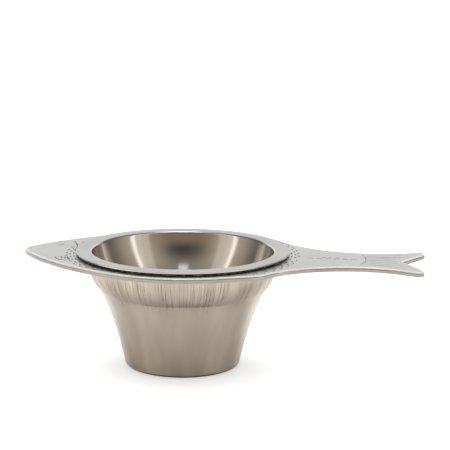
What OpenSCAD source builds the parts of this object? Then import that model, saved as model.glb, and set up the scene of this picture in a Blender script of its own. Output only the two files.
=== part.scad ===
// Fish-shaped tea strainer on a drip cup.
// The cup stands on its foot, the fish plate rests on the cup's mouth, the mesh
// basket hangs in the plate's hole and the bowl sits in the basket.
// Origin: centre of the cup's foot. +X runs from the head to the tail, +Z is up.

/* [Drip cup] */
// Height of the cup, from its foot to its mouth
cup_h = 40.5; // [39.5:0.1:43]
// Outer radius of the cup's mouth
cup_mouth_r = 35.5; // [35.3:0.1:35.7]
// Radius of the round upper wall, seen in section
cup_bowl_r = 16.8; // [16:0.1:18]
// Height of the crease between the upper and lower walls
crease_h = 29; // [28:0.1:30]
// Outer radius of the foot
foot_r = 21.9; // [20:0.1:24]
// Radius of the hollow curve of the lower wall
cup_waist_r = 124; // [80:2:300]
// Radius of the rounded edge of the foot
foot_edge_r = 1.9; // [0.9:0.1:2.6]
// Sheet thickness of the cup
cup_wall = 0.6; // [0.5:0.05:0.7]

/* [Fish plate] */
// Thickness of the plate
plate_t = 1.8; // [1.2:0.1:2.5]
// Radius of the round body of the fish
body_r = 42.4; // [41:0.1:44]
// Distance from the hole's centre to the nose
head_len = 60.5; // [57:0.5:66]
// Radius of the rounded nose
nose_r = 7.6; // [3:0.1:9]
// Radius of each curved side of the head
cheek_r = 90; // [84:1:120]
// Slope of each side behind the body, in degrees
flank_slope = 24; // [20:1:28]
// Radius of the rounded shoulder where the tail starts
shoulder_r = 8; // [5:0.5:9]
// Distance from the hole's centre to the narrowest place of the tail
neck_x = 67.6; // [66:0.1:70]
// Half of the tail's width at its narrowest place
neck_half = 12.4; // [10:0.1:13]
// Radius of the hollow sides in front of the neck
neck_front_r = 40.8; // [38:0.1:44]
// Radius of the hollow sides behind the neck
neck_back_r = 40; // [38:1:50]
// Distance from the hole's centre to the ends of the tail
tail_len = 89.9; // [89.5:0.1:93]
// Radius of the rounded outer corner of each tail lobe
lobe_r = 2.2; // [1:0.1:2.5]
// Distance from the hole's centre to the bottom of the fork
fork_x = 81.9; // [81:0.1:84]
// Half of the fork's opening at its wide end, before its corners are rounded
fork_half = 14; // [11:0.1:14.4]
// Radius of the rounded inner corner of each tail lobe
tip_r = 2; // [0.8:0.1:2.4]

/* [Mesh basket] */
// Thickness of the woven wire sheet
mesh_t = 0.3; // [0.25:0.05:0.35]
// Thickness of the folded hem
hem_t = 1.05; // [0.8:0.05:1.4]
// Outer radius of the hem
hem_r = 39.8; // [38:0.1:40]
// Gap between the basket and the plate's hole
basket_gap = 0.1; // [0.05:0.05:0.2]

/* [Strainer bowl] */
// Outer radius of the flange
flange_r = 40; // [39:0.1:42]
// Sheet thickness of the bowl
bowl_t = 0.55; // [0.45:0.05:0.6]
// Radius of the flange's inner edge, where the lip turns down
mouth_r = 34.9; // [34.5:0.1:35]
// Radius of the rounded lip between the flange and the inside
lip_r = 0.95; // [0.8:0.05:1.2]
// Depth of the bowl inside, from the flange's top
bowl_depth = 22.3; // [20:0.1:23]
// Lean of the wall just under the lip, in degrees
wall_lean = 12; // [8:1:16]
// Radius of the gently curved wall, seen in section
wall_r = 48; // [44:1:60]
// Lean at which the wall starts to turn into the bottom, in degrees
turn_lean = 30; // [26:1:31]
// Gap between the bowl and the basket
bowl_gap = 0.15; // [0.1:0.05:0.2]
// Diameter of the holes in the bottom
hole_d = 1.4; // [0.8:0.1:1.6]
// Distance between neighbouring rings of holes
hole_pitch = 2.7; // [2.2:0.1:2.8]
// Number of rings of holes around the centre hole
hole_rings = 5; // [2:1:5]

/* [Hidden] */

turn_fn = 144;      // facets of a turned surface
arc_step = 3;       // degrees between the points of an arc
long_arc_step = 1.3;  // the same for an arc of large radius
corner_step = 15;   // the same for a small rounded corner
cut = 0.5;          // how far a cutter passes a face

// Centre of the cup's round upper wall, in section
wall_x = cup_mouth_r - cup_bowl_r;
wall_z = cup_h;

// Heights of the stack that rests on the cup's mouth
plate_z = cup_h;
hem_z = plate_z + plate_t;
flange_z = hem_z + hem_t;
top_z = flange_z + bowl_t;

// Section of the bowl's inside: the lip's centre, then the centres of the wall and the turn
floor_z = top_z - bowl_depth;
lip = [mouth_r, top_z - lip_r];
side = lip - (wall_r + lip_r) * [cos(wall_lean), -sin(wall_lean)];
turn_r = (side[1] - wall_r * sin(turn_lean) - floor_z) / (1 - sin(turn_lean));
turn = side + (wall_r - turn_r) * [cos(turn_lean), -sin(turn_lean)];

// How far the basket's faces stand off the bowl's inside
mesh_in = bowl_t + bowl_gap;
mesh_out = mesh_in + mesh_t;
plate_hole_r = wall_radius(mesh_out, hem_z) + basket_gap;

// Room that the hem leaves for the lip
hem_clear = 0.3;

// Centres of the circles that hollow the tail, and the fork's corner radius
neck_front = [neck_x, neck_half + neck_front_r];
neck_back = [neck_x, neck_half + neck_back_r];
fork_r = 0.8;

// Points on an arc around c, from angle a to angle b
function arc(c, r, a, b, step = arc_step) =
    let (n = max(2, ceil(abs(b - a) / step)))
    [for (i = [0:n]) c + r * [cos(a + (b - a) * i / n), sin(a + (b - a) * i / n)]];
function angle_to(p, q) = atan2(q[1] - p[1], q[0] - p[0]);
function reversed(pts) = [for (i = [len(pts) - 1:-1:0]) pts[i]];

// Centre of the circle of radius r through p and q, on the right of the way from p to q
function chord_centre(p, q, r) =
    let (d = norm(q - p), u = (q - p) / d, h = sqrt(r * r - d * d / 4))
    (p + q) / 2 + h * [u[1], -u[0]];

// Radius, at height z, of the face that stands t outside the bowl's wall
function wall_radius(t, z) = side[0] + sqrt(pow(wall_r + t, 2) - pow(side[1] - z, 2));

// Height at which that face meets the lip's round
function lip_z(t) = lip[1] + (lip_r - t) * sin(wall_lean);

// Section of that face, from the axis up to height z
function bowl_line(t, z) =
    concat(
        [[0, floor_z - t]],
        arc(turn, turn_r + t, -90, -turn_lean),
        arc(side, wall_r + t, -turn_lean, -asin((side[1] - z) / (wall_r + t)), long_arc_step));

/* ---- Drip cup ---- */

// Outer or inner section of the cup, set in by t from its outside, from foot to mouth
function cup_line(t) =
    let (r = cup_bowl_r - t,
         crease_a = -asin((wall_z - crease_h) / cup_bowl_r),
         crease = [wall_x, wall_z] + r * [cos(crease_a), sin(crease_a)],
         heel = [foot_r - t, foot_edge_r],
         c = chord_centre(heel, crease, cup_waist_r + t))
    concat(
        arc([foot_r - foot_edge_r, foot_edge_r], foot_edge_r - t, -90, 0, corner_step),
        arc(c, cup_waist_r + t, angle_to(c, heel), angle_to(c, crease), long_arc_step),
        arc([wall_x, wall_z], r, crease_a, 0));

module drip_cup() {
    color([0.66, 0.64, 0.61])
        rotate_extrude($fn = turn_fn)
            polygon(concat([[0, 0]], cup_line(0), reversed(cup_line(cup_wall)),
                           [[0, cup_wall]]));
}

/* ---- Fish plate ---- */

// Centre of a cheek: its circle touches the body's circle and the nose's circle
function cheek_centre() =
    let (a = cheek_r - body_r, b = cheek_r - nose_r, d = head_len - nose_r,
         x = (b * b - a * a - d * d) / (2 * d))
    [x, -sqrt(a * a - x * x)];

// Centre of the shoulder: its circle touches the straight flank and the neck's circle
function shoulder_centre() =
    let (n = [sin(flank_slope), cos(flank_slope)], u = [n[1], -n[0]],
         base = (body_r - shoulder_r) * n, q = neck_front - base,
         side = q * n, reach = neck_front_r + shoulder_r)
    base + (q * u - sqrt(reach * reach - side * side)) * u;

// Centre of the outer corner of a lobe: its circle touches the tail's end and side
function lobe_centre() =
    let (x = tail_len - lobe_r, reach = neck_back_r + lobe_r)
    [x, neck_back[1] - sqrt(reach * reach - pow(x - neck_x, 2))];

// Half of the fish, from the bottom of the fork to the nose
function fish_half() =
    let (cheek = cheek_centre(), nose = [nose_r - head_len, 0],
         shoulder = shoulder_centre(), lobe = lobe_centre(),
         fork_a = atan2(fork_half, tail_len - fork_x),
         fork_c = [fork_x + fork_r / sin(fork_a), 0],
         tip_x = tail_len - tip_r,
         tip = [tip_x, tan(fork_a) * (tip_x - fork_x) + tip_r / cos(fork_a)])
    concat(
        arc(fork_c, fork_r, 180, 90 + fork_a, corner_step),
        arc(tip, tip_r, fork_a - 90, 0, corner_step),
        arc(lobe, lobe_r, 0, angle_to(lobe, neck_back), corner_step),
        arc(neck_back, neck_back_r, angle_to(neck_back, lobe), -90),
        arc(neck_front, neck_front_r, -90, angle_to(neck_front, shoulder)),
        arc(shoulder, shoulder_r, angle_to(shoulder, neck_front), 90 - flank_slope, 6),
        arc([0, 0], body_r, 90 - flank_slope, angle_to(cheek, [0, 0])),
        arc(cheek, cheek_r, angle_to(cheek, [0, 0]), angle_to(cheek, nose), long_arc_step),
        arc(nose, nose_r, angle_to(cheek, nose), 180, 6));

// The whole outline: one half, then its mirror image
function fish_outline() =
    let (half = fish_half(), n = len(half))
    concat(half, [for (i = [n - 2:-1:1]) [half[i][0], -half[i][1]]]);

module fish_plate() {
    color([0.80, 0.80, 0.79])
        translate([0, 0, plate_z])
            difference() {
                linear_extrude(plate_t) polygon(fish_outline());
                translate([0, 0, -cut])
                    cylinder(r = plate_hole_r, h = plate_t + 2 * cut, $fn = turn_fn);
            }
}

/* ---- Mesh basket ---- */

module mesh_basket() {
    corner = mouth_r + hem_clear;
    color([0.42, 0.36, 0.28])
        rotate_extrude($fn = turn_fn)
            polygon(concat(
                bowl_line(mesh_out, hem_z),
                [[hem_r, hem_z], [hem_r, flange_z], [corner, flange_z]],
                reversed(bowl_line(mesh_in, lip_z(mesh_in)))));
}

/* ---- Strainer bowl ---- */

module bowl_shell() {
    rotate_extrude($fn = turn_fn)
        polygon(concat(
            bowl_line(bowl_t, lip_z(bowl_t)),
            arc(lip, lip_r - bowl_t, 180 - wall_lean, 90, corner_step),
            [[flange_r, flange_z], [flange_r, top_z]],
            arc(lip, lip_r, 90, 180 - wall_lean, corner_step),
            reversed(bowl_line(0, lip_z(0)))));
}

// Rings of straight holes through the bottom
module bottom_holes() {
    translate([0, 0, floor_z - bowl_t - cut])
        for (ring = [0:hole_rings], i = [0:max(1, 6 * ring) - 1])
            rotate(i * 360 / max(1, 6 * ring))
                translate([ring * hole_pitch, 0, 0])
                    cylinder(d = hole_d, h = bowl_t + 2 + cut, $fn = 32);
}

module strainer_bowl() {
    color([0.74, 0.73, 0.71])
        difference() {
            bowl_shell();
            bottom_holes();
        }
}

drip_cup();
fish_plate();
mesh_basket();
strainer_bowl();
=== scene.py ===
"""Looks of the fish-shaped tea strainer: rounded sheet metal, an engraved plate and a woven basket.

Everything is in metres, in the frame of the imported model. Turned pieces take their section
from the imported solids, so they follow the model's own sizes.
"""
import math
import random

import bmesh
import bpy
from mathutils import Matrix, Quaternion, Vector


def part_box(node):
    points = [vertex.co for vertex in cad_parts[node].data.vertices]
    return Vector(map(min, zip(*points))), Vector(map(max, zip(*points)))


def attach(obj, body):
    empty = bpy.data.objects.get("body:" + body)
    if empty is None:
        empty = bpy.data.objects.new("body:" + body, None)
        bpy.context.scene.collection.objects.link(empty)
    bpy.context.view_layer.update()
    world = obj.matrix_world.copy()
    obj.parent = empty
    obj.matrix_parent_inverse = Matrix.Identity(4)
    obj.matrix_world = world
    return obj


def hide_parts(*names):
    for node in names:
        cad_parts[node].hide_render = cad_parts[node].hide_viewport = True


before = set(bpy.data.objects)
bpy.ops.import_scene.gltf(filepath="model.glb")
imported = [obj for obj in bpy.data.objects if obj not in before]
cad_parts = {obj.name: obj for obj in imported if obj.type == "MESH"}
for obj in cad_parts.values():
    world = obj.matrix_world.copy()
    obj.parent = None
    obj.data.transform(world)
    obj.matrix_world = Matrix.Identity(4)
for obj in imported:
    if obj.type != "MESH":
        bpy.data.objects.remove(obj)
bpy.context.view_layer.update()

MM = 0.001
TAU = 2 * math.pi

# Camera: where it stands, its roll, how far away, and how far it aims from the flange's centre
CAM_AZIMUTH = math.radians(7.43)
CAM_ELEVATION = math.radians(11.05)
CAM_ROLL = math.radians(0.57)
CAM_DISTANCE = 562 * MM
CAM_LENS = 120
AIM_RIGHT = 15.65 * MM
AIM_UP = 9.2 * MM

# Finishing of the sheet metal
EDGE_R = 0.22 * MM          # rounding of a cut sheet edge
PLATE_EDGE_R = 0.20 * MM    # the same on the thicker plate
PLATE_TOP_R = 0.72 * MM     # the same along the plate's upper outer edge
SPIN_STEPS = 288            # facets round a turned piece
CUP_STEPS = 256             # the same for the cup, whose section has more points
SHARP = math.radians(32)    # a section turning by more than this is a real corner

# Holes through the bottom of the bowl
HOLE_RINGS = 5
HOLE_PITCH = 2.7 * MM
HOLE_R = 0.7 * MM

# Woven wire
WIRE_R = 0.13 * MM
WEAVE_PITCH = 0.8 * MM
WIRE_SIDES = 4

# Studio floor: its own glow, the dimmer glow right beside the foot that paints its contact shadow, how
# far that painted shadow reaches, and the floor's tint and gloss in reflections
FLOOR_GLOW = 0.64
SHADE_GLOW = 0.50
SHADE_REACH = 16 * MM
FLOOR_TINT = (0.90, 0.875, 0.84, 1.0)
FLOOR_GLOSS = 0.28

# Engraving
CUT_DEPTH = 0.16 * MM
CUT_W = 0.5 * MM

cup_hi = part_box("drip_cup")[1]
plate_lo, plate_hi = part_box("fish_plate")
basket_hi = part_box("mesh_basket")[1]
bowl_lo, bowl_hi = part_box("strainer_bowl")
ring_centre = Vector((0, 0, bowl_hi.z))


# ---- Camera -------------------------------------------------------------------------------

def place_camera():
    forward = Vector((-math.sin(CAM_AZIMUTH) * math.cos(CAM_ELEVATION),
                      math.cos(CAM_AZIMUTH) * math.cos(CAM_ELEVATION),
                      -math.sin(CAM_ELEVATION)))
    right = forward.cross(Vector((0, 0, 1))).normalized()
    up = right.cross(forward)
    aim = ring_centre + right * AIM_RIGHT + up * AIM_UP
    data = bpy.data.cameras.new("camera")
    data.lens = CAM_LENS
    data.clip_start = 0.01
    data.clip_end = 50
    cam = bpy.data.objects.new("camera", data)
    bpy.context.scene.collection.objects.link(cam)
    cam.location = aim - forward * CAM_DISTANCE
    turn = Quaternion(forward, -CAM_ROLL)
    cam.rotation_euler = (turn @ forward.to_track_quat("-Z", "Y")).to_euler()
    bpy.context.scene.camera = cam


# ---- Materials ----------------------------------------------------------------------------

class Nodes:
    """A short way to write a node tree: each call adds a node and returns its main output."""

    def __init__(self, tree):
        self.tree = tree

    def add(self, kind, out=0, settings=None, **inputs):
        node = self.tree.nodes.new(kind)
        for key, value in (settings or {}).items():
            setattr(node, key, value)
        for key, value in inputs.items():
            index = int(key[1:]) if key[0] == "i" and key[1:].isdigit() else key.replace("_", " ")
            self.put(node.inputs[index], value)
        return node.outputs[out]

    def put(self, socket, value):
        if isinstance(value, bpy.types.NodeSocket):
            self.tree.links.new(value, socket)
        else:
            socket.default_value = value

    def math(self, operation, a, b=0.0, c=0.0):
        return self.add("ShaderNodeMath", settings={"operation": operation}, i0=a, i1=b, i2=c)

    def ramp(self, value, low, high, to_low=0.0, to_high=1.0, smooth=True):
        settings = {"interpolation_type": "SMOOTHSTEP" if smooth else "LINEAR"}
        return self.add("ShaderNodeMapRange", settings=settings,
                        i0=value, i1=low, i2=high, i3=to_low, i4=to_high)

    def mix(self, factor, a, b):
        node = self.tree.nodes.new("ShaderNodeMix")
        node.data_type = "RGBA"
        self.put(node.inputs[0], factor)
        self.put(node.inputs[6], a)
        self.put(node.inputs[7], b)
        return node.outputs[2]

    def noise(self, vector, scale, detail=2.0, rough=0.5):
        return self.add("ShaderNodeTexNoise", Vector=vector, Scale=scale, Detail=detail,
                        Roughness=rough)


def rgb(r, g, b):
    return (r, g, b, 1.0)


def new_material(name):
    mat = bpy.data.materials.new(name)
    mat.use_nodes = True
    tree = mat.node_tree
    shader = tree.nodes["Principled BSDF"]
    shader.inputs["Metallic"].default_value = 1.0
    nodes = Nodes(tree)
    place = nodes.add("ShaderNodeTexCoord", out=3)
    return mat, nodes, shader, place


def around(nodes, place):
    """Angle, radius and height of a point about the turning axis."""
    part = nodes.tree.nodes.new("ShaderNodeSeparateXYZ")
    nodes.put(part.inputs[0], place)
    x, y, z = part.outputs
    angle = nodes.math("ARCTAN2", y, x)
    radius = nodes.math("SQRT", nodes.math("ADD", nodes.math("MULTIPLY", x, x),
                                           nodes.math("MULTIPLY", y, y)))
    return angle, radius, z


def circle_vector(nodes, place, angle_scale, radius_scale, z_scale):
    """A noise position that runs round the axis without a seam, stretched along it."""
    part = nodes.tree.nodes.new("ShaderNodeSeparateXYZ")
    nodes.put(part.inputs[0], place)
    x, y, z = part.outputs
    _, radius, _ = around(nodes, place)
    safe = nodes.math("MAXIMUM", radius, 0.5 * MM)
    return nodes.add("ShaderNodeCombineXYZ",
                     X=nodes.math("MULTIPLY", nodes.math("DIVIDE", x, safe), angle_scale),
                     Y=nodes.math("MULTIPLY", nodes.math("DIVIDE", y, safe), angle_scale),
                     Z=nodes.math("ADD", nodes.math("MULTIPLY", z, z_scale),
                                  nodes.math("MULTIPLY", radius, radius_scale)))


def finish_surface(nodes, shader, color, roughness, height, bump):
    nodes.put(shader.inputs["Base Color"], color)
    nodes.put(shader.inputs["Roughness"], roughness)
    nodes.put(shader.inputs["Normal"],
              nodes.add("ShaderNodeBump", Strength=bump[0], Distance=bump[1], Height=height))


def satin_plate():
    """Fine blasted satin, with a faint lengthwise grain."""
    mat, nodes, shader, place = new_material("satin_plate")
    grain = nodes.noise(place, 5200, 3)
    long_grain = nodes.noise(nodes.add("ShaderNodeMapping", Vector=place, Scale=(260, 4200, 900)),
                             1.0, 2)
    cloud = nodes.noise(place, 55, 3)
    height = nodes.math("ADD", grain, nodes.math("MULTIPLY", long_grain, 0.5))
    color = nodes.mix(nodes.ramp(cloud, 0.3, 0.7), rgb(0.57, 0.57, 0.565), rgb(0.625, 0.625, 0.615))
    rough = nodes.ramp(grain, 0.25, 0.75, 0.40, 0.50)
    finish_surface(nodes, shader, color, rough, height, (0.22, 0.02 * MM))
    shader.inputs["Metallic"].default_value = 0.82
    return mat


def shaded_cut_edge():
    """Polished cut edge of the plate, darker and warmer than its face: painted shade on the plate's
    side walls.
    """
    mat, nodes, shader, place = new_material("shaded_cut_edge")
    streak = nodes.noise(nodes.add("ShaderNodeMapping", Vector=place, Scale=(500, 500, 5200)),
                         1.0, 3)
    cloud = nodes.noise(place, 120, 2)
    # darker than the plate's face: painted shade on the side walls
    color = nodes.mix(nodes.ramp(cloud, 0.3, 0.7), rgb(0.39, 0.37, 0.34), rgb(0.46, 0.44, 0.405))
    finish_surface(nodes, shader, color, nodes.ramp(streak, 0.3, 0.7, 0.16, 0.26), streak,
                   (0.25, 0.02 * MM))
    return mat


def painted_highlight_edge():
    """Rounded upper edge of the plate, pale and scattering: a painted highlight along the edge."""
    mat, nodes, shader, place = new_material("painted_highlight_edge")
    speck = nodes.noise(place, 900, 3)
    # pale colour and low metallic: painted highlight on the rounded upper edge
    color = nodes.mix(nodes.ramp(speck, 0.3, 0.7), rgb(0.70, 0.69, 0.67), rgb(0.80, 0.79, 0.77))
    finish_surface(nodes, shader, color, nodes.ramp(speck, 0.3, 0.7, 0.32, 0.44), speck,
                   (0.25, 0.02 * MM))
    shader.inputs["Metallic"].default_value = 0.35
    return mat


def etched(name, dark, light):
    """Floor of the engraved lines: darker and rough."""
    mat, nodes, shader, place = new_material(name)
    speck = nodes.noise(place, 3800, 4, 0.7)
    color = nodes.mix(nodes.ramp(speck, 0.3, 0.7), dark, light)
    finish_surface(nodes, shader, color, nodes.ramp(speck, 0.3, 0.7, 0.45, 0.6), speck,
                   (0.5, 0.04 * MM))
    return mat


def drawn_cup():
    """Drawn steel: smooth below, with dark upright drawing marks under the mouth."""
    mat, nodes, shader, place = new_material("drawn_cup")
    z = around(nodes, place)[2]
    grain = nodes.noise(place, 3200, 3)
    fine = nodes.noise(circle_vector(nodes, place, 170, 40, 90), 1.0, 3)
    hoops = nodes.noise(circle_vector(nodes, place, 3, 0, 900), 1.0, 3)
    broad = nodes.noise(circle_vector(nodes, place, 5, 3, 45), 1.0, 3)
    # marks: narrow upright lines, in patches round the cup, fading out below the crease
    lines = nodes.noise(circle_vector(nodes, place, 230, 8, 36), 1.0, 4, 0.75)
    patch = nodes.noise(circle_vector(nodes, place, 4.5, 1, 60), 1.0, 2)
    below = nodes.ramp(z, cup_hi.z * 0.58, cup_hi.z * 0.80)
    above = nodes.ramp(z, cup_hi.z * 0.88, cup_hi.z, 1.0, 0.35)
    marks = nodes.math("MULTIPLY", nodes.ramp(lines, 0.49, 0.59), nodes.ramp(patch, 0.30, 0.56))
    marks = nodes.math("MULTIPLY", marks, nodes.math("MULTIPLY", below, above))
    base = nodes.mix(nodes.ramp(broad, 0.35, 0.65), rgb(0.58, 0.525, 0.46), rgb(0.64, 0.585, 0.52))
    color = nodes.mix(nodes.math("MULTIPLY", marks, 0.85), base, rgb(0.15, 0.11, 0.085))
    # the lowest millimetre of the foot is painted almost black: painted contact shade where the foot
    # meets the table
    color = nodes.mix(nodes.ramp(z, 0.35 * MM, 1.0 * MM), rgb(0.05, 0.045, 0.04), color)
    rough = nodes.math("ADD", nodes.ramp(grain, 0.3, 0.7, 0.18, 0.25),
                       nodes.math("MULTIPLY", marks, 0.2))
    upper = nodes.ramp(z, cup_hi.z * 0.5, cup_hi.z * 0.9, 0.12, 0.8)
    height = nodes.math("ADD", nodes.math("MULTIPLY", fine, upper),
                        nodes.math("ADD", nodes.math("MULTIPLY", grain, 0.25),
                                   nodes.math("ADD", nodes.math("MULTIPLY", hoops, 0.2),
                                              nodes.math("MULTIPLY", marks, -0.7))))
    finish_surface(nodes, shader, color, rough, height, (0.22, 0.03 * MM))
    return mat


def polished_bowl():
    """Mirror polish with very faint spinning lines."""
    mat, nodes, shader, place = new_material("polished_bowl")
    _, radius, z = around(nodes, place)
    rings = nodes.noise(nodes.add("ShaderNodeCombineXYZ", X=nodes.math("MULTIPLY", radius, 2600),
                                  Y=0.0, Z=nodes.math("MULTIPLY", z, 2600)), 1.0, 2)
    cloud = nodes.noise(place, 70, 3)
    color = nodes.mix(nodes.ramp(cloud, 0.3, 0.7), rgb(0.64, 0.62, 0.59), rgb(0.71, 0.69, 0.66))
    rough = nodes.ramp(cloud, 0.3, 0.7, 0.10, 0.16)
    finish_surface(nodes, shader, color, rough, rings, (0.05, 0.01 * MM))
    return mat


def satin_flange():
    """Flat-ground flange with a fine circular grain."""
    mat, nodes, shader, place = new_material("satin_flange")
    angle, radius, _ = around(nodes, place)
    rings = nodes.noise(nodes.add("ShaderNodeCombineXYZ",
                                  X=nodes.math("MULTIPLY", radius, 4200),
                                  Y=nodes.math("MULTIPLY", angle, 1.5), Z=0.0), 1.0, 2)
    grain = nodes.noise(place, 5200, 3)
    cloud = nodes.noise(place, 60, 3)
    height = nodes.math("ADD", grain, nodes.math("MULTIPLY", rings, 0.6))
    color = nodes.mix(nodes.ramp(cloud, 0.3, 0.7), rgb(0.56, 0.555, 0.545), rgb(0.61, 0.605, 0.59))
    finish_surface(nodes, shader, color, nodes.ramp(grain, 0.25, 0.75, 0.32, 0.42), height,
                   (0.2, 0.02 * MM))
    return mat


def wire_metal():
    """Drawn wire in random patches: near-black patches are painted shade, and bright gold patches catch
    the lamps.
    """
    mat, nodes, shader, place = new_material("wire_metal")
    tint = nodes.noise(place, 1300, 2)
    speck = nodes.noise(place, 5200, 2)
    # random near-black patches are painted shade; the bright gold ones are where the lamps glint
    color = nodes.mix(nodes.ramp(tint, 0.52, 0.66), rgb(0.07, 0.055, 0.04), rgb(0.90, 0.72, 0.48))
    finish_surface(nodes, shader, color, nodes.ramp(speck, 0.3, 0.7, 0.14, 0.26), speck,
                   (0.3, 0.02 * MM))
    return mat


def hem_core_painted_shade():
    """The pressed inside of the hem, seen only between its wires, coloured near-black as painted shade.
    """
    mat, nodes, shader, place = new_material("hem_core_painted_shade")
    speck = nodes.noise(place, 2600, 4, 0.7)
    # near-black: painted shade between the hem's wires
    color = nodes.mix(nodes.ramp(speck, 0.35, 0.7), rgb(0.03, 0.025, 0.02), rgb(0.12, 0.09, 0.06))
    finish_surface(nodes, shader, color, nodes.ramp(speck, 0.3, 0.7, 0.35, 0.6), speck,
                   (0.7, 0.08 * MM))
    return mat


# ---- Sections and turned pieces -----------------------------------------------------------

def section(node, keep_from):
    """Line of (radius, height) points where a turned solid meets a half plane through its axis.

    Points nearer to the axis than keep_from are dropped, and both ends run straight to the axis.
    """
    turn = math.radians(1.3)
    along = Vector((math.cos(turn), math.sin(turn), 0))
    bm = bmesh.new()
    bm.from_mesh(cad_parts[node].data)
    bmesh.ops.remove_doubles(bm, verts=bm.verts, dist=1e-6)
    bmesh.ops.bisect_plane(bm, geom=bm.verts[:] + bm.edges[:] + bm.faces[:], dist=1e-7,
                           plane_co=(0, 0, 0), plane_no=(-along.y, along.x, 0),
                           clear_inner=True, clear_outer=True)
    loops = []
    todo = set(bm.verts)
    while todo:
        start = todo.pop()
        loop = [start]
        while True:
            nexts = [e.other_vert(loop[-1]) for e in loop[-1].link_edges]
            nexts = [v for v in nexts if v in todo]
            if not nexts:
                break
            todo.discard(nexts[0])
            loop.append(nexts[0])
        loops.append([(v.co.dot(along), v.co.z) for v in loop])
    bm.free()
    loop = max(loops, key=lambda pts: max(p[0] for p in pts) * (len(pts) > 8))
    # start the loop just after a dropped point, then keep the run of points that follows
    n = len(loop)
    first = next(i for i in range(n) if loop[i - 1][0] < keep_from <= loop[i][0])
    line = []
    for i in range(n):
        point = loop[(first + i) % n]
        if point[0] < keep_from:
            break
        line.append(Vector(point))
    if line[0].y > line[-1].y:
        line.reverse()
    return [Vector((0, line[0].y))] + line + [Vector((0, line[-1].y))]


def tidy_line(line, gap=0.02 * MM):
    """Drops points that are closer together than gap."""
    out = [line[0]]
    for point in line[1:]:
        if (point - out[-1]).length > gap:
            out.append(point)
    return out


def turn_at(a, p, b):
    return (p - a).angle(b - p, 0.0)


def round_line(line, radius, parts=5):
    """Rounds the sharp corners of a section, with a short straight run beside each."""
    out = [line[0]]
    for a, p, b in zip(line, line[1:], line[2:]):
        turn = turn_at(a, p, b)
        if turn < SHARP:
            out.append(p)
            continue
        reach = min(radius * math.tan(turn / 2), 0.4 * (p - a).length, 0.4 * (b - p).length)
        back, ahead = (a - p).normalized(), (b - p).normalized()
        out.append(p + back * reach * 1.3)
        for i in range(parts + 1):
            t = i / parts
            out.append((1 - t) ** 2 * (p + back * reach) + 2 * t * (1 - t) * p
                       + t * t * (p + ahead * reach))
        out.append(p + ahead * reach * 1.3)
    return out + [line[-1]]


def refine_line(line, parts=3):
    """Puts more points on the curved stretches, on a smooth curve through the old ones."""
    out = [line[0]]
    for i in range(len(line) - 1):
        p1, p2 = line[i], line[i + 1]
        p0 = line[i - 1] if i else p1
        p3 = line[i + 2] if i + 2 < len(line) else p2
        straight = turn_at(p0, p1, p2) < 0.004 or turn_at(p1, p2, p3) < 0.004
        sharp = max(turn_at(p0, p1, p2), turn_at(p1, p2, p3)) > SHARP
        if not straight and not sharp and (p2 - p1).length > 0.4 * MM:
            for k in range(1, parts):
                t = k / parts
                out.append(0.5 * (2 * p1 + (p2 - p0) * t + (2 * p0 - 5 * p1 + 4 * p2 - p3) * t * t
                                  + (3 * p1 - p0 - 3 * p2 + p3) * t ** 3))
        out.append(p2)
    return out


def link_mesh(name, bm, materials, smooth=True):
    mesh = bpy.data.meshes.new(name)
    for face in bm.faces:
        face.smooth = smooth
    bm.to_mesh(mesh)
    bm.free()
    for mat in materials:
        mesh.materials.append(mat)
    piece = bpy.data.objects.new(name, mesh)
    bpy.context.scene.collection.objects.link(piece)
    return piece


def turned(name, line, materials, pick=None, steps=SPIN_STEPS):
    """Turns a section round the Z axis. pick(radius, height) gives a face's material."""
    bm = bmesh.new()
    rings = []
    for point in line:
        if point.x < 1e-6:
            rings.append([bm.verts.new((0, 0, point.y))])
        else:
            rings.append([bm.verts.new((point.x * math.cos(TAU * i / steps),
                                        point.x * math.sin(TAU * i / steps), point.y))
                          for i in range(steps)])
    for k in range(len(rings) - 1):
        a, b = rings[k], rings[k + 1]
        middle = (line[k] + line[k + 1]) / 2
        slot_index = pick(middle.x, middle.y) if pick else 0
        for i in range(steps):
            j = (i + 1) % steps
            corners = [a[i % len(a)], a[j % len(a)], b[j % len(b)], b[i % len(b)]]
            corners = list(dict.fromkeys(corners))
            if len(corners) > 2:
                bm.faces.new(corners).material_index = slot_index
    bmesh.ops.recalc_face_normals(bm, faces=bm.faces)
    return link_mesh(name, bm, materials)


def boolean_cut(piece, cutter, engraved=False):
    """Cuts cutter out of piece for good. An engraved cut keeps the cutter's own material."""
    mod = piece.modifiers.new("cut", "BOOLEAN")
    mod.operation = "DIFFERENCE"
    mod.solver = "EXACT"
    mod.object = cutter
    mod.use_self = engraved
    mod.material_mode = "TRANSFER" if engraved else "INDEX"
    bpy.context.view_layer.update()
    depsgraph = bpy.context.evaluated_depsgraph_get()
    mesh = bpy.data.meshes.new_from_object(piece.evaluated_get(depsgraph), depsgraph=depsgraph)
    piece.modifiers.clear()
    piece.data = mesh
    bpy.data.objects.remove(cutter)


def ring_placed(piece, body):
    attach(piece, body)
    return piece


def make_cup():
    line = refine_line(round_line(tidy_line(section("drip_cup", 0.1 * MM)), EDGE_R))
    cup = turned("drip_cup_shell", line, [drawn_cup()], steps=CUP_STEPS)
    ring_placed(cup, "cup")
    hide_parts("drip_cup")


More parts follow.
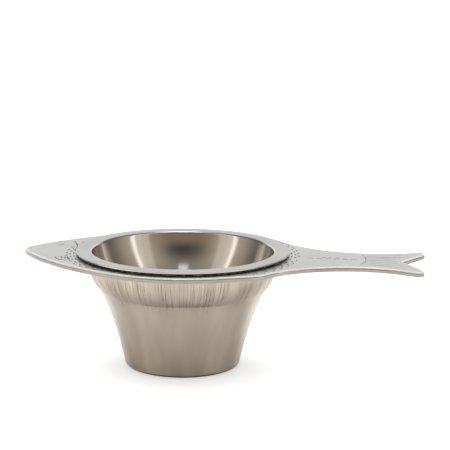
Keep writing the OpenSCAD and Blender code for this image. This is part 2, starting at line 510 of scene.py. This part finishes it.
def make_bowl():
    flat_r = (HOLE_RINGS * HOLE_PITCH + HOLE_R) * 1.004
    line = refine_line(round_line(tidy_line(section("strainer_bowl", flat_r)), 0.27 * MM))
    flat_top = bowl_hi.z - 0.12 * MM

    def pick(radius, height):
        return 1 if height > flat_top else 0

    bowl = turned("strainer_bowl_shell", line, [polished_bowl(), satin_flange()], pick)
    bm = bmesh.new()
    for ring in range(HOLE_RINGS + 1):
        count = max(1, 6 * ring)
        for i in range(count):
            turn = TAU * i / count
            made = bmesh.ops.create_cone(bm, cap_ends=True, segments=20, radius1=HOLE_R,
                                         radius2=HOLE_R, depth=4 * MM)
            bmesh.ops.translate(bm, verts=made["verts"],
                                vec=(ring * HOLE_PITCH * math.cos(turn),
                                     ring * HOLE_PITCH * math.sin(turn), bowl_lo.z))
    boolean_cut(bowl, link_mesh("hole_cutter", bm, []))
    ring_placed(bowl, "bowl")
    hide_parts("strainer_bowl")


# ---- Fish plate ---------------------------------------------------------------------------

def plate_loops():
    """The plate's outline and its round hole, as loops of (x, y) points on its top face."""
    bm = bmesh.new()
    bm.from_mesh(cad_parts["fish_plate"].data)
    bmesh.ops.remove_doubles(bm, verts=bm.verts, dist=1e-6)
    flat = {f for f in bm.faces if f.normal.z > 0.9}
    rim = [e for e in bm.edges if len([f for f in e.link_faces if f in flat]) == 1]
    loops = []
    todo = set(rim)
    while todo:
        edge = todo.pop()
        loop = [edge.verts[0], edge.verts[1]]
        while True:
            nexts = [e for e in loop[-1].link_edges if e in todo]
            if not nexts:
                break
            todo.discard(nexts[0])
            loop.append(nexts[0].other_vert(loop[-1]))
        loops.append([Vector(v.co.xy) for v in loop[:-1]])
    bm.free()
    loops.sort(key=lambda pts: max(p.x for p in pts))
    return loops[-1], loops[0]


def counter_clockwise(loop):
    area = sum(a.x * b.y - b.x * a.y for a, b in zip(loop, loop[1:] + loop[:1]))
    return loop if area > 0 else loop[::-1]


def smooth_loop(loop):
    """Adds points to a closed loop, on a smooth curve through the old ones."""
    n = len(loop)
    along = [((loop[i] - loop[i - 1]).normalized()
              + (loop[(i + 1) % n] - loop[i]).normalized()).normalized() for i in range(n)]
    out = []
    for i, a in enumerate(loop):
        b = loop[(i + 1) % n]
        pull = (b - a).length
        count = max(2, math.ceil(pull / (1.2 * MM)))
        for t in (k / count for k in range(count)):
            out.append(a * (2 * t ** 3 - 3 * t ** 2 + 1) + b * (3 * t ** 2 - 2 * t ** 3)
                       + along[i] * pull * (t ** 3 - 2 * t ** 2 + t)
                       + along[(i + 1) % n] * pull * (t ** 3 - t ** 2))
    return out


def loop_normals(loop):
    """Outward unit normals of a counter-clockwise loop."""
    out = []
    for i in range(len(loop)):
        along = (loop[(i + 1) % len(loop)] - loop[i - 1]).normalized()
        out.append(Vector((along.y, -along.x)))
    return out


def rounded_band(bm, loop, side, low, high, low_r, high_r, parts=5, top_slot=1):
    """Wall round a loop with its upper and lower edges rounded. Returns its end rings.

    top_slot is the material of the rounded upper edge."""
    normals = loop_normals(loop)
    turns = [math.pi / 2 * k / parts for k in range(parts + 1)]
    steps = [(low_r * (1 - math.sin(a)), low + low_r * (1 - math.cos(a))) for a in turns]
    steps += [(high_r * (1 - math.sin(a)), high - high_r * (1 - math.cos(a)))
              for a in reversed(turns)]
    rings = [[bm.verts.new((p - n * d * side).to_3d() + Vector((0, 0, z)))
              for p, n in zip(loop, normals)] for d, z in steps]
    for k, (a, b) in enumerate(zip(rings, rings[1:])):
        for i in range(len(loop)):
            j = (i + 1) % len(loop)
            face = bm.faces.new((a[i], a[j], b[j], b[i]))
            face.material_index = top_slot if k > parts + 1 else 1
    return rings[0], rings[-1]


def ring_edges(bm, ring):
    return [bm.edges.get((ring[i], ring[(i + 1) % len(ring)])) for i in range(len(ring))]


def stroke(bm, points, width=CUT_W, taper=0.45):
    """A closed cutter along points on the plate's top: wide above the face, narrow below it."""
    top = plate_hi.z + 0.1 * MM
    floor = plate_hi.z - CUT_DEPTH
    count = len(points)
    rings = []
    for i, p in enumerate(points):
        along = (points[min(i + 1, count - 1)] - points[max(i - 1, 0)]).normalized()
        across = Vector((-along.y, along.x))
        end = min(i, count - 1 - i) / max(1, (count - 1) / 2)
        half = 0.5 * width * (taper + (1 - taper) * min(1.0, 2.5 * end))
        low = half * 0.55
        rings.append([bm.verts.new((*(p + across * half), top)),
                      bm.verts.new((*(p + across * low), floor)),
                      bm.verts.new((*(p - across * low), floor)),
                      bm.verts.new((*(p - across * half), top))])
    for a, b in zip(rings, rings[1:]):
        for k in range(4):
            bm.faces.new((a[k], a[(k + 1) % 4], b[(k + 1) % 4], b[k]))
    bm.faces.new(rings[0])
    bm.faces.new(rings[-1][::-1])


def curve_points(a, b, bulge, count=9):
    """Points from a to b on an arc that stands bulge to the left of the straight way."""
    side = Vector((-(b - a).y, (b - a).x)).normalized()
    return [a.lerp(b, t) + side * bulge * 4 * t * (1 - t)
            for t in [i / (count - 1) for i in range(count)]]


def polar(radius, degrees):
    return Vector((radius * math.cos(math.radians(degrees)),
                   radius * math.sin(math.radians(degrees))))


def at_mm(x, y):
    return Vector((x * MM, y * MM))


def scale_row(bm, radius, shift, step, size, bulge, width, margin):
    """A row of short curved marks round the ring, wherever the plate is wide enough."""
    for i in range(int(360 / step)):
        turn = (i + shift) * step
        line = curve_points(polar(radius, turn - size), polar(radius, turn + size), -bulge, 7)
        if all(inside_plate(point, margin) for point in line):
            stroke(bm, line, width)


def engrave_fish(bm):
    """The fish's drawing: gill, eye, fin, scales round the ring, tail arc and fin rays."""
    ring_r = bowl_hi.x
    stroke(bm, curve_points(at_mm(-45.5, 15.2), at_mm(-41.4, -2.2), 1.5 * MM, 13), 0.55 * MM)
    eye = at_mm(-48.6, 7.4)
    for start, end in ((15, 170), (195, 350)):
        stroke(bm, [eye + polar(1.2 * MM, start + (end - start) * i / 8) for i in range(9)],
               0.45 * MM)
    stroke(bm, [eye + at_mm(-0.35, 0), eye + at_mm(0, 0.04), eye + at_mm(0.35, 0)], 0.4 * MM)
    fin = [at_mm(*p) for p in ((-45.6, -13.8), (-45.1, -15.6), (-43.9, -17.5), (-42.2, -18.8),
                               (-40.5, -19.1), (-39.5, -17.9), (-39.9, -15.6), (-41.5, -12.6))]
    stroke(bm, refine_line(fin, 3), 0.72 * MM)
    stroke(bm, curve_points(at_mm(-43.8, -12.9), at_mm(-42.8, -16.6), 0.4 * MM, 7), 0.5 * MM)
    stroke(bm, curve_points(at_mm(-42.3, -13.0), at_mm(-41.4, -16.8), 0.3 * MM, 7), 0.5 * MM)
    scale_row(bm, ring_r + 0.65 * MM, 0.25, 7.5, 1.5, 0.25 * MM, 0.55 * MM, 0.8 * MM)
    scale_row(bm, ring_r + 1.75 * MM, 0.0, 6.6, 1.5, 0.6 * MM, 0.52 * MM, 1.2 * MM)
    scale_row(bm, ring_r + 3.05 * MM, 0.5, 6.6, 1.5, 0.6 * MM, 0.52 * MM, 1.2 * MM)
    stroke(bm, curve_points(at_mm(66.5, -8.6), at_mm(66.5, 8.6), -1.9 * MM, 15), 0.34 * MM)
    rays = (((68.9, 2.4), (76.4, 3.3), (81.6, 4.8)), ((68.5, 4.7), (75.0, 5.8), (84.6, 7.7)),
            ((68.0, 7.0), (74.2, 8.4), (83.6, 11.6)))
    for ray in rays:
        for side in (1, -1):
            line = refine_line([at_mm(x, side * y) for x, y in ray], 4)
            stroke(bm, line, 0.5 * MM)
    stroke(bm, curve_points(at_mm(68.9, 0), at_mm(80.2, 0), 0.1 * MM, 9), 0.5 * MM)


def engrave_ornament(bm):
    """A plain ornament along the handle: a row of lozenges over a row of waves."""
    for i in range(4):
        x = 52.6 + 2.6 * i
        stroke(bm, [at_mm(x - 0.7, 2.1), at_mm(x, 2.1), at_mm(x + 0.7, 2.1)], 1.0 * MM, 0.1)
    for i in range(6):
        a = at_mm(46.6 + 3.2 * i, -0.4)
        stroke(bm, curve_points(a, a + at_mm(2.5, 0), 0.45 * MM, 7), 0.75 * MM)


def inside_plate(point, margin=1.3 * MM):
    """True if point lies on the plate, at least margin from its outline."""
    loop = plate_outline
    crossings = 0
    nearest = 1.0
    for a, b in zip(loop, loop[1:] + loop[:1]):
        if (a.y > point.y) != (b.y > point.y):
            if point.x < a.x + (point.y - a.y) * (b.x - a.x) / (b.y - a.y):
                crossings += 1
        nearest = min(nearest, (point - a).length)
    return crossings % 2 == 1 and nearest > margin


def make_plate():
    bm = bmesh.new()
    low, high = plate_lo.z, plate_hi.z
    outer = rounded_band(bm, plate_outline, 1, low, high, PLATE_EDGE_R, PLATE_TOP_R, top_slot=2)
    inner = rounded_band(bm, plate_hole, -1, low, high, PLATE_EDGE_R, PLATE_EDGE_R)
    for a, b in zip(outer, inner):
        edges = ring_edges(bm, a) + ring_edges(bm, b)
        bmesh.ops.triangle_fill(bm, use_beauty=True, use_dissolve=False, edges=edges)
    bmesh.ops.recalc_face_normals(bm, faces=bm.faces)
    plate = link_mesh("fish_plate_body", bm, [satin_plate(), shaded_cut_edge(), painted_highlight_edge()])
    cutter_bm = bmesh.new()
    engrave_fish(cutter_bm)
    fish_faces = set(cutter_bm.faces)
    engrave_ornament(cutter_bm)
    for face in cutter_bm.faces:
        face.material_index = 0 if face in fish_faces else 1
    bmesh.ops.recalc_face_normals(cutter_bm, faces=cutter_bm.faces)
    inks = [etched("etched", rgb(0.10, 0.098, 0.092), rgb(0.24, 0.235, 0.225)),
            etched("etched_gold", rgb(0.25, 0.19, 0.12), rgb(0.46, 0.37, 0.26))]
    boolean_cut(plate, link_mesh("stroke_cutter", cutter_bm, inks, smooth=False), True)
    flat_faces(plate)
    ring_placed(plate, "plate")
    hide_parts("fish_plate")


def flat_faces(piece):
    """Shades the flat faces of a plate flat and keeps its rounded edges smooth."""
    for face in piece.data.polygons:
        face.use_smooth = abs(face.normal.z) < 0.999


# ---- Woven basket -------------------------------------------------------------------------

def tube(bm, points, normals, radius, closed=False, sides=WIRE_SIDES):
    """A wire along points. normals say which way its section starts, so that it doesn't twist."""
    rings = []
    count = len(points)
    for i, (p, n) in enumerate(zip(points, normals)):
        if closed:
            along = points[(i + 1) % count] - points[i - 1]
        else:
            along = points[min(i + 1, count - 1)] - points[max(i - 1, 0)]
        side = along.cross(n).normalized()
        up = side.cross(along).normalized()
        rings.append([bm.verts.new(p + radius * (math.cos(TAU * k / sides) * up
                                                 + math.sin(TAU * k / sides) * side))
                      for k in range(sides)])
    pairs = list(zip(rings, rings[1:])) + ([(rings[-1], rings[0])] if closed else [])
    for a, b in pairs:
        for k in range(sides):
            bm.faces.new((a[k], a[(k + 1) % sides], b[(k + 1) % sides], b[k]))
    if not closed:
        bm.faces.new(rings[0][::-1])
        bm.faces.new(rings[-1])


class Meridian:
    """The basket's middle surface as a function of the distance along its section."""

    def __init__(self, points):
        self.points = points
        self.marks = [0.0]
        for a, b in zip(points, points[1:]):
            self.marks.append(self.marks[-1] + (b - a).length)
        self.length = self.marks[-1]

    def at(self, distance):
        """Point (radius, height) and unit normal, outward, at that distance from the axis."""
        distance = min(max(distance, 0.0), self.length - 1e-9)
        i = next(k for k in range(1, len(self.marks)) if self.marks[k] > distance) - 1
        a, b = self.points[i], self.points[i + 1]
        t = (distance - self.marks[i]) / (self.marks[i + 1] - self.marks[i])
        along = (b - a).normalized()
        return a.lerp(b, t), Vector((along.y, -along.x))


def basket_meridian():
    """Middle line of the basket's wall, from the axis to just under the hem."""
    line = tidy_line(section("mesh_basket", 0.1 * MM))
    outer = []
    for point in line:
        outer.append(point)
        if point.y >= plate_hi.z - 1e-6:
            break
    normals = []
    for i, p in enumerate(outer):
        along = (outer[min(i + 1, len(outer) - 1)] - outer[max(i - 1, 0)]).normalized()
        normals.append(Vector((along.y, -along.x)))
    wall = 0.15 * MM
    return Meridian([p - n * wall if p.x > 0 else p + Vector((0, wall))
                     for p, n in zip(outer, normals)])


def drape(meridian, u, v, lift):
    """Lays the flat weave point (u, v) on the basket, lifted along the surface's normal."""
    distance = math.hypot(u, v)
    point, normal = meridian.at(distance)
    turn = math.atan2(v, u)
    cos, sin = math.cos(turn), math.sin(turn)
    place = point + normal * lift
    return (Vector((place.x * cos, place.x * sin, place.y)),
            Vector((normal.x * cos, normal.x * sin, normal.y)))


def make_weave(name, meridian, along_x, mat):
    """All the wires of one direction of the basket's square weave."""
    bm = bmesh.new()
    rows = int(meridian.length / WEAVE_PITCH)
    for row in range(-rows, rows + 1):
        v = row * WEAVE_PITCH
        half = math.sqrt(max(0.0, meridian.length ** 2 - v * v))
        reach = int(half / WEAVE_PITCH)
        if reach < 2:
            continue
        points, normals = [], []
        for k in range(-reach, reach + 1):
            u = k * WEAVE_PITCH
            lift = WIRE_R * (1 if (k + row) % 2 else -1)
            if along_x:
                place, normal = drape(meridian, u, v, lift)
            else:
                place, normal = drape(meridian, v, u, -lift)
            points.append(place)
            normals.append(normal)
        tube(bm, points, normals, WIRE_R)
    piece = link_mesh(name, bm, [mat])
    return ring_placed(piece, "basket")


def make_hem(mat):
    """The folded hem: a pressed core wrapped in woven wires that turn round its edge."""
    core_in = WIRE_R * 2.2
    line = tidy_line(section("mesh_basket", 0.1 * MM))
    top = basket_hi.z
    low = plate_hi.z
    hem = [p for p in line if p.y > low - 1e-6]
    inner = min(p.x for p in hem)
    outer = max(p.x for p in hem)
    corner = min(p.x for p in hem if p.y > top - 1e-6)
    core = [Vector((inner + core_in, low + core_in)), Vector((outer - core_in, low + core_in)),
            Vector((outer - core_in, top - core_in)), Vector((corner + core_in, top - core_in)),
            Vector((inner + core_in, top - (corner - inner) - core_in))]
    piece = turned("basket_hem_core", round_line(core + core[:1], 0.1 * MM), [hem_core_painted_shade()])
    ring_placed(piece, "basket")
    # a weave laid round the fold: wires across it, and ring wires along it
    skin = WIRE_R * 2.0
    fold = Meridian(round_line([Vector((corner + skin, top - skin)), Vector((outer - skin, top - skin)),
                                Vector((outer - skin, low + skin)), Vector((inner + skin, low + skin))],
                               0.3 * MM))
    count = 2 * int(math.pi * outer / WEAVE_PITCH)
    rings = int(fold.length / WEAVE_PITCH)
    rng = random.Random(7)
    jitter = [rng.uniform(-0.22, 0.22) for _ in range(count)]
    bm = bmesh.new()
    for i in range(count):
        turn = TAU * (i + jitter[i]) / count
        points, normals = [], []
        for k in range(2 * rings + 1):
            place, normal = fold.at(fold.length * k / (2 * rings))
            lift = WIRE_R * (1 if (k // 1 + 2 * i) % 4 < 2 else -1)
            spot = place - normal * lift
            points.append(Vector((spot.x * math.cos(turn), spot.x * math.sin(turn), spot.y)))
            normals.append(Vector((normal.x * math.cos(turn), normal.x * math.sin(turn), normal.y)))
        tube(bm, points, normals, WIRE_R)
    piece = link_mesh("basket_hem_cross", bm, [mat])
    ring_placed(piece, "basket")
    bm = bmesh.new()
    for k in range(rings + 1):
        place, normal = fold.at(fold.length * k / rings)
        points, normals = [], []
        for i in range(count):
            turn = TAU * (i + 0.5) / count
            lift = WIRE_R * (1 if (k + i) % 2 else -1)
            spot = place - normal * lift
            points.append(Vector((spot.x * math.cos(turn), spot.x * math.sin(turn), spot.y)))
            normals.append(Vector((normal.x * math.cos(turn), normal.x * math.sin(turn), normal.y)))
        tube(bm, points, normals, WIRE_R, closed=True)
    piece = link_mesh("basket_hem_rings", bm, [mat])
    return ring_placed(piece, "basket")


def make_basket():
    mat = wire_metal()
    meridian = basket_meridian()
    warp = make_weave("basket_warp", meridian, True, mat)
    make_weave("basket_weft", meridian, False, mat)
    make_hem(mat)
    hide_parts("mesh_basket")


# ---- Studio -------------------------------------------------------------------------------

def turn_to(lamp, direction):
    lamp.rotation_euler = Vector(direction).to_track_quat("-Z", "Y").to_euler()


def softbox(name, side_angle, base, top, distance, width, radiance, color=(1, 1, 1)):
    """A lit upright panel facing the strainer. side_angle is from the camera, + to its right."""
    turn = CAM_AZIMUTH + math.radians(side_angle)
    place = Vector((math.sin(turn) * distance, -math.cos(turn) * distance, (base + top) / 2))
    data = bpy.data.lights.new(name, "AREA")
    data.shape = "RECTANGLE"
    data.size, data.size_y = width, top - base
    data.energy = radiance * math.pi * data.size * data.size_y
    data.color = color
    lamp = bpy.data.objects.new(name, data)
    bpy.context.scene.collection.objects.link(lamp)
    lamp.location = place
    turn_to(lamp, Vector((0, 0, place.z)) - place)


def overhead(name, place, size, radiance, color=(1, 1, 1)):
    """A lit panel hanging over the strainer and facing it."""
    data = bpy.data.lights.new(name, "AREA")
    data.size = size
    data.energy = radiance * math.pi * size * size
    data.color = color
    lamp = bpy.data.objects.new(name, data)
    bpy.context.scene.collection.objects.link(lamp)
    lamp.location = place
    turn_to(lamp, Vector((0, 0, 0.03)) - Vector(place))


def sky(name, direction, width, power):
    """A broad soft light for the floor and matt faces. It is left out of reflections."""
    data = bpy.data.lights.new(name, "SUN")
    data.angle = math.radians(width)
    data.energy = power
    lamp = bpy.data.objects.new(name, data)
    bpy.context.scene.collection.objects.link(lamp)
    lamp.visible_glossy = False
    turn_to(lamp, direction)


def make_stage():
    """White floor. In reflections it is a grey polished table, as if the room were dimmer."""
    bm = bmesh.new()
    half = 12.0
    bm.faces.new([bm.verts.new(c) for c in ((-half, -half, 0), (half, -half, 0),
                                            (half, half, 0), (-half, half, 0))])
    mat = bpy.data.materials.new("white_floor")
    mat.use_nodes = True
    tree = mat.node_tree
    tree.nodes.remove(tree.nodes["Principled BSDF"])
    nodes = Nodes(tree)
    seen = nodes.add("ShaderNodeBsdfDiffuse", Color=rgb(0.54, 0.555, 0.575))
    # the camera sees the floor's glow dimmed near the foot by an occlusion test: a painted contact
    # shadow, on top of the real shadows in the diffuse part
    near = nodes.add("ShaderNodeAmbientOcclusion", out=1, settings={"samples": 12},
                     Distance=SHADE_REACH)
    glow = nodes.add("ShaderNodeEmission", Color=rgb(1, 1, 1),
                     Strength=nodes.ramp(near, 0.25, 0.85, SHADE_GLOW, FLOOR_GLOW, smooth=False))
    matt = nodes.add("ShaderNodeBsdfDiffuse", Color=FLOOR_TINT)
    gloss = nodes.add("ShaderNodeBsdfGlossy", Color=rgb(0.9, 0.88, 0.85), Roughness=0.32)
    bounced = nodes.add("ShaderNodeMixShader", i0=FLOOR_GLOSS, i1=matt, i2=gloss)
    both = nodes.add("ShaderNodeMixShader", i0=nodes.add("ShaderNodeLightPath"), i1=bounced,
                     i2=nodes.add("ShaderNodeAddShader", i0=seen, i1=glow))
    nodes.put(tree.nodes["Material Output"].inputs["Surface"], both)
    floor = link_mesh("floor", bm, [mat], smooth=False)


def make_world():
    """A studio that is dim on the camera's side and white behind. The camera sees plain white."""
    world = bpy.data.worlds.new("studio")
    bpy.context.scene.world = world
    world.use_nodes = True
    tree = world.node_tree
    nodes = Nodes(tree)
    direction = nodes.add("ShaderNodeTexCoord", out=0)
    part = tree.nodes.new("ShaderNodeSeparateXYZ")
    nodes.put(part.inputs[0], direction)
    x, y, z = part.outputs
    ahead = nodes.math("SUBTRACT", nodes.math("MULTIPLY", y, math.cos(CAM_AZIMUTH)),
                       nodes.math("MULTIPLY", x, math.sin(CAM_AZIMUTH)))
    dim = nodes.mix(nodes.ramp(z, 0.30, 0.46), rgb(0.27, 0.22, 0.155), rgb(0.05, 0.047, 0.042))
    room = nodes.mix(nodes.ramp(ahead, -0.93, -0.60), dim, rgb(0.46, 0.40, 0.31))
    room = nodes.mix(nodes.ramp(ahead, -0.20, 0.40), room, rgb(0.17, 0.155, 0.135))
    room = nodes.mix(nodes.ramp(ahead, 0.50, 0.85), room, rgb(0.98, 0.98, 0.98))
    room = nodes.mix(nodes.ramp(z, 0.50, 0.85), room, rgb(0.26, 0.245, 0.22))
    room = nodes.mix(nodes.ramp(z, 0.92, 0.98), room, rgb(1.2, 1.25, 1.3))
    backdrop = nodes.mix(nodes.add("ShaderNodeLightPath"), room, rgb(1, 1, 1))
    shader = nodes.add("ShaderNodeBackground", Color=backdrop, Strength=1.0)
    out = next(n for n in tree.nodes if n.type == "OUTPUT_WORLD")
    tree.links.new(shader, out.inputs["Surface"])


def make_lights():
    """Strip lights on both sides, each fading towards the camera, and two panels above."""
    sky("top_light", (0.04, -0.45, -1), 110, 3.2)
    for side, name in ((-1, "left"), (1, "right")):
        softbox(name + "_box", 73 * side, 0.01, 1.25, 0.60, 0.065, 1.15, (1.0, 0.98, 0.96))
        softbox(name + "_fade", 64 * side, 0.01, 1.25, 0.61, 0.09, 0.32, (1.0, 0.94, 0.88))
        softbox(name + "_glow", 54 * side, 0.01, 1.25, 0.62, 0.11, 0.26, (1.0, 0.92, 0.82))
    overhead("zenith_panel", (0.0, 0.16, 0.90), 0.30, 2.7, (0.93, 0.97, 1.0))
    overhead("front_panel", (0.065, -0.43, 0.53), 0.135, 0.8, (0.85, 0.93, 1.0))


plate_outline, plate_hole = plate_loops()
plate_outline = smooth_loop(counter_clockwise(plate_outline))
plate_hole = counter_clockwise(plate_hole)

place_camera()
make_cup()
make_plate()
make_basket()
make_bowl()
make_stage()
make_world()
make_lights()
bpy.context.scene.view_settings.view_transform = "Standard"
